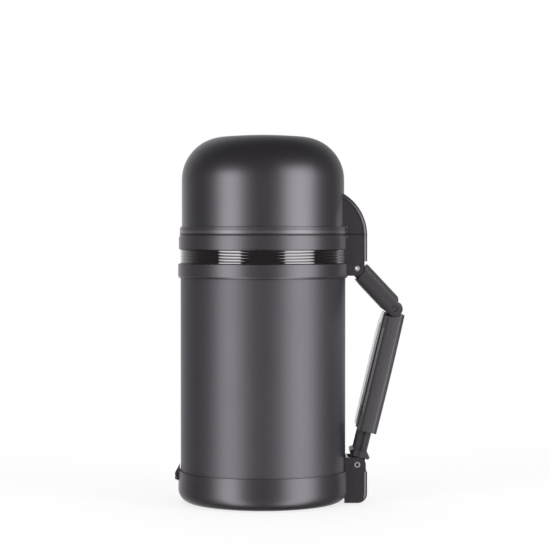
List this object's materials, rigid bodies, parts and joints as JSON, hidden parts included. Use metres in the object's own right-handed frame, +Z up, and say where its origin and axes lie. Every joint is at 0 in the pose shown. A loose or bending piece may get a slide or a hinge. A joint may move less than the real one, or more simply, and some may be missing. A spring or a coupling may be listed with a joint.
{
  "type": "insulated food jar",
  "caption": "Wide-mouth vacuum food jar with a dome cup over a nested bowl and screw stopper, and a folding side handle.",
  "frame": {"origin": "middle of the flat face that the jar stands on", "axes": "+Z up along the jar's axis, +X towards the folding handle, -Y towards the front"},
  "size_m": [0.1452, 0.1076, 0.2326],
  "materials": {
    "painted_body": "satin dark grey metallic paint",
    "painted_cup": "satin dark grey metallic paint",
    "inner_steel": "fine brushed",
    "bowl_steel": "fine brushed",
    "sealing_metal": "dull",
    "screw_steel": "plated",
    "pin_steel": "plated",
    "polished_band": "polished",
    "foil": "bright",
    "soft_pad": "matte",
    "silicone": "translucent grey",
    "foam": "closed-cell foam",
    "dark_plastic": "satin moulded",
    "handle_plastic": "satin moulded",
    "pad_plastic": "smooth glossy",
    "stopper_plastic": "moulded",
    "cap_plastic": "moulded",
    "plug_plastic": "moulded"
  },
  "bodies": {
    "jar": {"outer_shell": "painted_body", "inner_vessel": "inner_steel", "shell_bottom": "inner_steel", "vacuum_seal": "sealing_metal", "getter_capsule": "sealing_metal", "heat_foil": "foil", "base_pad": "soft_pad", "base_ring": "dark_plastic", "clamp_screw": "screw_steel", "clamp_nut": "screw_steel", "collar": "dark_plastic", "mouth_seal": "silicone", "trim_band": "polished_band", "upper_pin": "pin_steel", "lower_pin": "pin_steel"},
    "stopper_seal": {"stopper_gasket": "silicone"},
    "stopper": {"stopper_body": "stopper_plastic", "stopper_cap": "cap_plastic", "stopper_foam": "foam"},
    "plug_seal": {"pour_plug_gasket": "silicone"},
    "plug": {"pour_plug": "plug_plastic"},
    "bowl": {"inner_bowl": "bowl_steel"},
    "cup_insert": {"cup_insulation": "foam"},
    "cup": {"cup_shell": "painted_cup", "cup_liner": "inner_steel", "cup_rim_ring": "dark_plastic"},
    "upper_arm": {"upper_arm": "handle_plastic", "middle_pin": "pin_steel"},
    "grip": {"grip_shell": "handle_plastic", "grip_pad": "pad_plastic"},
    "lower_arm": {"lower_arm": "handle_plastic"}
  },
  "joints": [
    {"name": "stopper_lift", "type": "slide", "parent": "jar", "child": "stopper_seal", "axis": [0, 0, 1], "range_m": [0, 0.05]},
    {"name": "stopper_unscrew", "type": "hinge", "parent": "stopper_seal", "child": "stopper", "pos_m": [0, 0, 0.17], "axis": [0, 0, 1], "range_deg": [0, 360]},
    {"name": "plug_lift", "type": "slide", "parent": "stopper", "child": "plug_seal", "axis": [0, 0, 1], "range_m": [0, 0.045]},
    {"name": "plug_unscrew", "type": "hinge", "parent": "plug_seal", "child": "plug", "pos_m": [0, 0, 0.18], "axis": [0, 0, 1], "range_deg": [0, 360]},
    {"name": "bowl_lift", "type": "slide", "parent": "plug_seal", "child": "bowl", "axis": [0, 0, 1], "range_m": [0, 0.05]},
    {"name": "cup_lift", "type": "slide", "parent": "bowl", "child": "cup_insert", "axis": [0, 0, 1], "range_m": [0, 0.07]},
    {"name": "cup_unscrew", "type": "hinge", "parent": "cup_insert", "child": "cup", "pos_m": [0, 0, 0.2], "axis": [0, 0, 1], "range_deg": [0, 360]},
    {"name": "handle_fold", "type": "hinge", "parent": "jar", "child": "upper_arm", "pos_m": [0.0593, 0, 0.1484], "axis": [0, 1, 0], "range_deg": [0, 41]},
    {"name": "grip_pivot", "type": "hinge", "parent": "upper_arm", "child": "grip", "pos_m": [0.08308, 0, 0.12299], "axis": [0, 1, 0], "range_deg": [-54, 0]},
    {"name": "lower_arm_pivot", "type": "hinge", "parent": "jar", "child": "lower_arm", "pos_m": [0.0593, 0, 0.0248], "axis": [0, 1, 0], "range_deg": [-13, 0]}
  ],
  "couplings": [
    {"joint": "grip_pivot", "follows": "handle_fold", "ratio": -1.31},
    {"joint": "lower_arm_pivot", "follows": "handle_fold", "ratio": -0.31}
  ]
}
